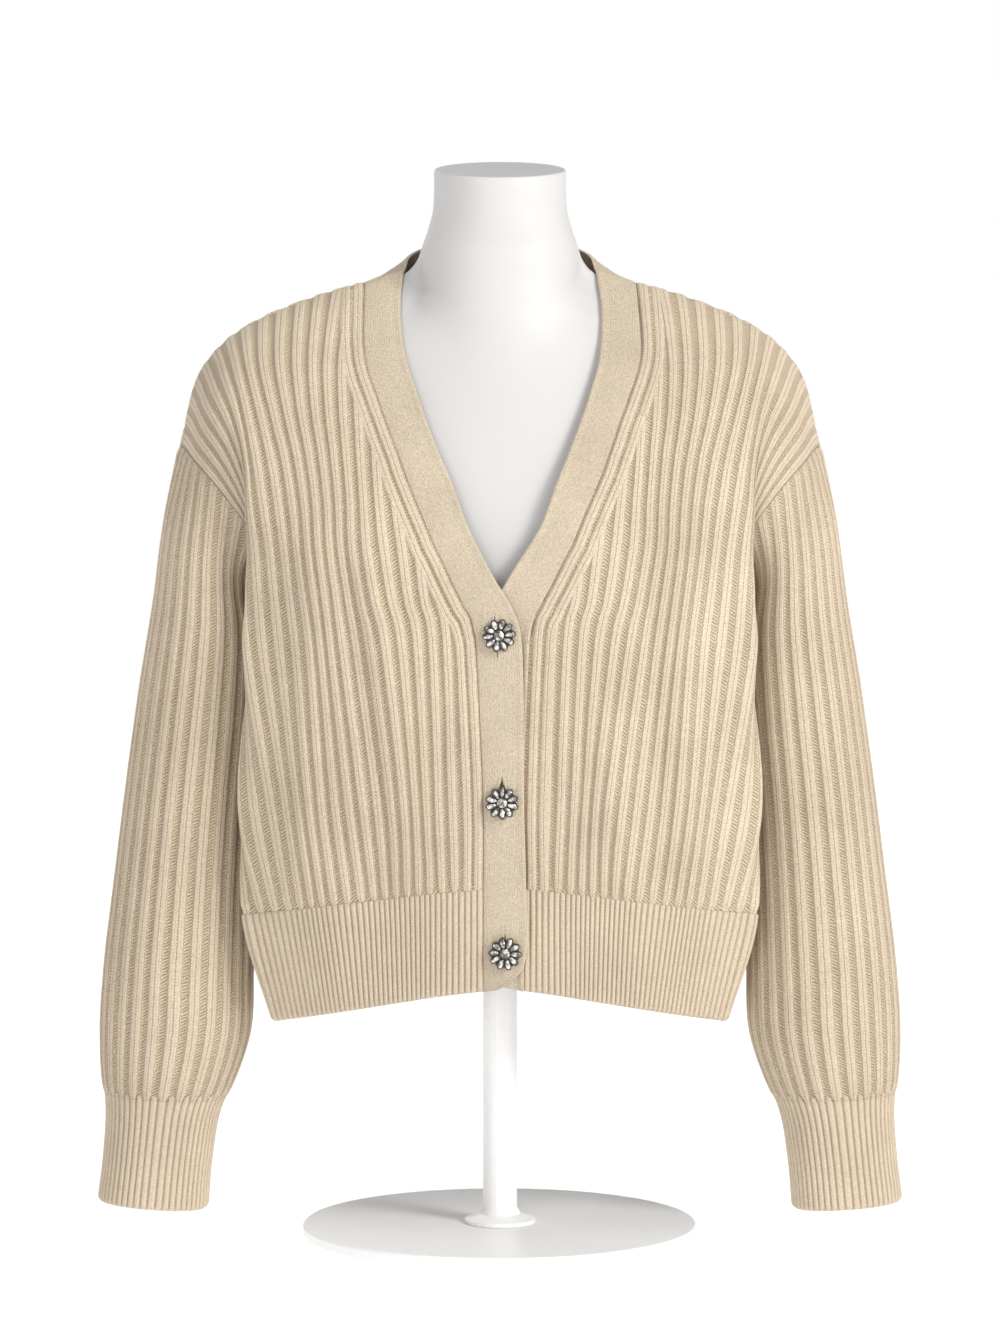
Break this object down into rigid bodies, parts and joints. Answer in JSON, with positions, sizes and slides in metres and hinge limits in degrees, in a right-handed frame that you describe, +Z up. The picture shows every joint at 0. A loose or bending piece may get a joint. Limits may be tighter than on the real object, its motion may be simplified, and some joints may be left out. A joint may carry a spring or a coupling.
{
  "type": "ribbed button cardigan on a limbless dress form",
  "caption": "Cropped V-neck cardigan in broad vertical rib knit with dropped sleeves and flower buttons, hung on a white limbless dress form.",
  "frame": {"origin": "centre of the underside of the stand's base", "axes": "+Z up, the front of the cardigan faces -Y, the wearer's left side is +X"},
  "size_m": [0.5928, 0.29, 0.7851],
  "materials": {
    "knit_body": "broad rib knit in beige wool blend, matt and slightly fuzzy",
    "knit_sleeve": "the same rib knit, on the sleeves",
    "knit_rib": "fine elastic rib of the hems and cuffs",
    "knit_band": "smooth close knit of the button band and neck band, a shade lighter",
    "button_metal": "dark antique silver with clear faceted stones",
    "form_white": "smooth matt white",
    "stand_white": "smooth white powder coat"
  },
  "bodies": {
    "root": {"back": "knit_body", "front_right": "knit_body", "front_left": "knit_body", "hem_back": "knit_rib", "hem_front_right": "knit_rib", "hem_front_left": "knit_rib", "sleeve_right": "knit_sleeve", "sleeve_left": "knit_sleeve", "cuff_right": "knit_rib", "cuff_left": "knit_rib", "band_right": "knit_band", "band_left": "knit_band", "band_neck": "knit_band", "button_1": "button_metal", "button_2": "button_metal", "button_3": "button_metal", "dress_form": "form_white", "stand_base": "stand_white", "stand_pole": "stand_white"}
  },
  "joints": []
}
